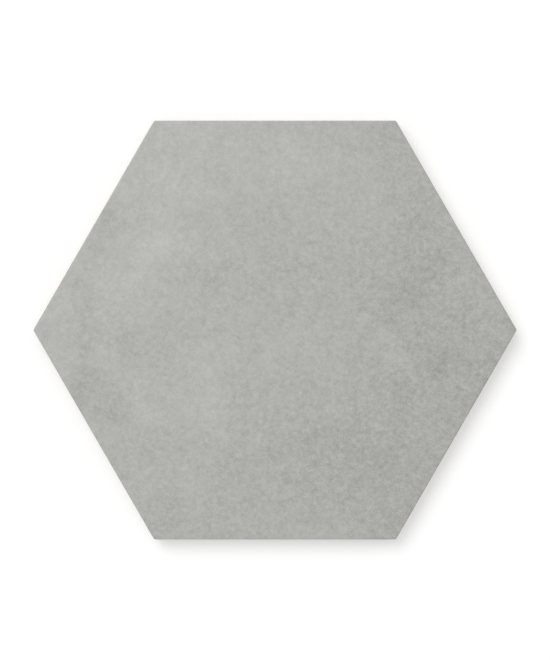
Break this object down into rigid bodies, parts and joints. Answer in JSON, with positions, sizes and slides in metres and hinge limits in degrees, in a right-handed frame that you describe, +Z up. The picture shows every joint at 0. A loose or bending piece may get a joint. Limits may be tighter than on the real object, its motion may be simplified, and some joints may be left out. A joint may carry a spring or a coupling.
{
  "type": "hexagon tile",
  "caption": "Flat regular hexagon tile of pressed porcelain with a matt concrete-look glazed face, a fine rounded arris and a honeycomb-keyed back, for bedding edge to edge on floors and walls.",
  "frame": {"origin": "centre of the bed plane, the plane of the ribs on the tile's back", "axes": "+Z up through the glazed face, +X towards one corner of the hexagon, +Y square to one of its sides"},
  "size_m": [0.2018, 0.175, 0.009],
  "materials": {
    "porcelain": "matt printed glaze, neutral grey with soft clouding and a sandy grain, on a fired porcelain body"
  },
  "bodies": {
    "root": {"hexagon_tile": "porcelain"}
  },
  "joints": []
}
